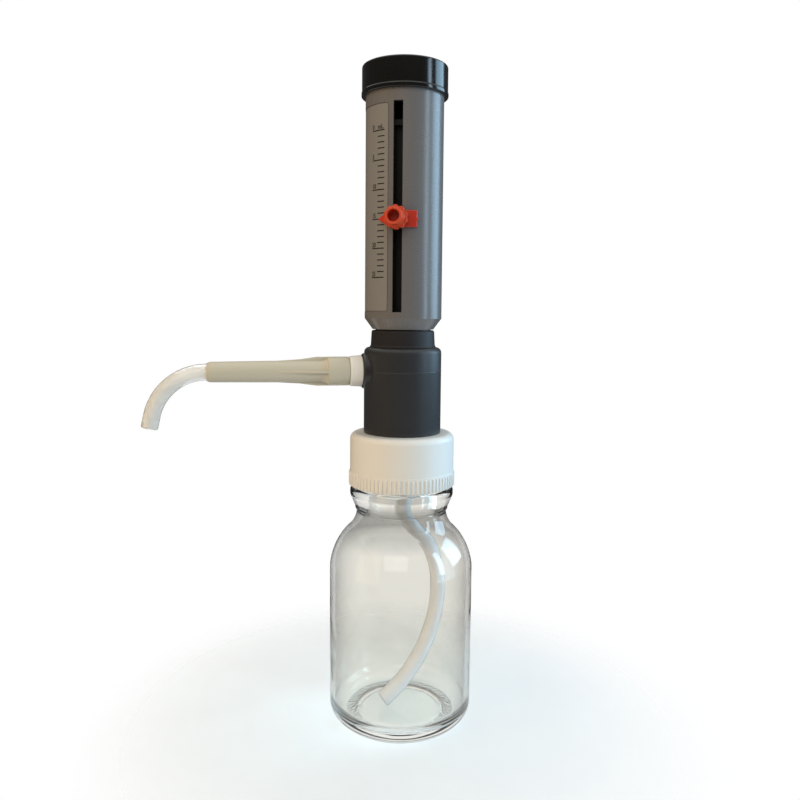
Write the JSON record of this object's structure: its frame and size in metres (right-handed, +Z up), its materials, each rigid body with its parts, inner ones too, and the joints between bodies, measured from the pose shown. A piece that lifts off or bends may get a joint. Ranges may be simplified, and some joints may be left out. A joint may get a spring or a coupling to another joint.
{
  "type": "bottle top dispenser",
  "caption": "Piston dispenser with sliding graduated sleeve, adjustable stroke stop and curved swivelling nozzle, screwed onto a round glass laboratory bottle.",
  "frame": {"origin": "middle of the ring that the bottle stands on", "axes": "+Z up along the bottle's axis, -X along the nozzle, the scale facing between -X and -Y"},
  "size_m": [0.1568, 0.07, 0.3162],
  "materials": {
    "clear_glass": "clear moulded borosilicate glass",
    "cap_white": "white polypropylene, satin",
    "block_charcoal": "charcoal moulded plastic, semi-gloss",
    "collar_charcoal": "charcoal moulded plastic, semi-gloss",
    "cap_black": "glossy black plastic",
    "guide_black": "black plastic",
    "sleeve_grey": "mid-grey plastic, semi-gloss",
    "label_silver": "silver-grey printed film",
    "knob_orange": "orange moulded plastic",
    "pointer_red": "red-orange moulded plastic",
    "union_white": "white moulded plastic",
    "housing_ivory": "ivory-grey moulded plastic",
    "tube_clear": "milky translucent fluoropolymer tube",
    "valve_ivory": "natural fluoropolymer",
    "valve_ceramic": "white ceramic",
    "valve_glass": "borosilicate glass ball",
    "seal_white": "white fluoropolymer seal",
    "ring_rubber": "black fluoroelastomer",
    "rod_black": "black plastic rod",
    "spring_steel": "stainless steel"
  },
  "bodies": {
    "bottle": {"bottle": "clear_glass"},
    "neck_gasket": {"neck_gasket": "seal_white"},
    "screw_cap": {"screw_cap": "cap_white"},
    "head": {"cap_retainer": "block_charcoal", "valve_block": "block_charcoal", "intake_valve_body": "valve_ivory", "intake_valve_seat": "valve_ceramic", "intake_cage": "valve_ivory", "dip_tube": "tube_clear", "outlet_valve_seat": "valve_ceramic", "outlet_spring": "spring_steel", "outlet_cage": "valve_ivory", "outlet_seal": "seal_white", "cylinder_seal": "seal_white", "cylinder_collar": "collar_charcoal", "guide_tube": "guide_black", "glass_cylinder": "clear_glass", "stop_ring": "guide_black"},
    "intake_ball": {"intake_ball": "valve_glass"},
    "outlet_ball": {"outlet_ball": "valve_glass"},
    "union_nut": {"union_nut": "union_white"},
    "nozzle": {"nozzle_insert": "valve_ivory", "nozzle_housing": "housing_ivory", "jet_tube": "tube_clear"},
    "piston": {"piston": "valve_ivory", "piston_rings": "ring_rubber", "piston_rod": "rod_black", "rod_washer": "spring_steel", "rod_nut": "spring_steel"},
    "sleeve": {"sleeve": "sleeve_grey", "scale_label": "label_silver", "top_cap": "cap_black"},
    "volume_stop": {"stop_block": "knob_orange", "pointer_plate": "pointer_red"},
    "clamp_knob": {"clamp_knob": "knob_orange"}
  },
  "joints": [
    {"name": "cap_rise", "type": "slide", "parent": "bottle", "child": "neck_gasket", "axis": [0, 0, 1], "range_m": [0, 0.007]},
    {"name": "cap_turn", "type": "hinge", "parent": "neck_gasket", "child": "screw_cap", "pos_m": [0, 0, 0.13], "axis": [0, 0, 1], "range_deg": [0, 631]},
    {"name": "head_swivel", "type": "hinge", "parent": "neck_gasket", "child": "head", "pos_m": [0, 0, 0.14], "axis": [0, 0, 1], "continuous": true},
    {"name": "intake_lift", "type": "slide", "parent": "head", "child": "intake_ball", "axis": [0, 0, 1], "range_m": [0, 0.002]},
    {"name": "outlet_lift", "type": "slide", "parent": "head", "child": "outlet_ball", "axis": [-1, 0, 0], "range_m": [0, 0.0015], "stiffness_N_per_m": 30, "deforming": ["outlet_spring"]},
    {"name": "union_turn", "type": "hinge", "parent": "head", "child": "union_nut", "pos_m": [-0.023, 0, 0.1734], "axis": [-1, 0, 0], "range_deg": [0, 360]},
    {"name": "nozzle_turn", "type": "hinge", "parent": "head", "child": "nozzle", "pos_m": [-0.03, 0, 0.1734], "axis": [-1, 0, 0], "continuous": true},
    {"name": "piston_stroke", "type": "slide", "parent": "head", "child": "piston", "axis": [0, 0, 1], "range_m": [0, 0.0397]},
    {"name": "sleeve_turn", "type": "hinge", "parent": "piston", "child": "sleeve", "pos_m": [0, 0, 0.3], "axis": [0, 0, 1], "continuous": true},
    {"name": "volume_set", "type": "slide", "parent": "sleeve", "child": "volume_stop", "axis": [0, 0, 1], "range_m": [-0.0265, 0.0397]},
    {"name": "knob_turn", "type": "hinge", "parent": "volume_stop", "child": "clamp_knob", "pos_m": [-0.00796, -0.02051, 0.24418], "axis": [-0.3616, -0.9323, 0], "range_deg": [0, 360]}
  ],
  "couplings": [
    {"joint": "cap_turn", "follows": "cap_rise", "rad_per_m": 1570.8}
  ]
}
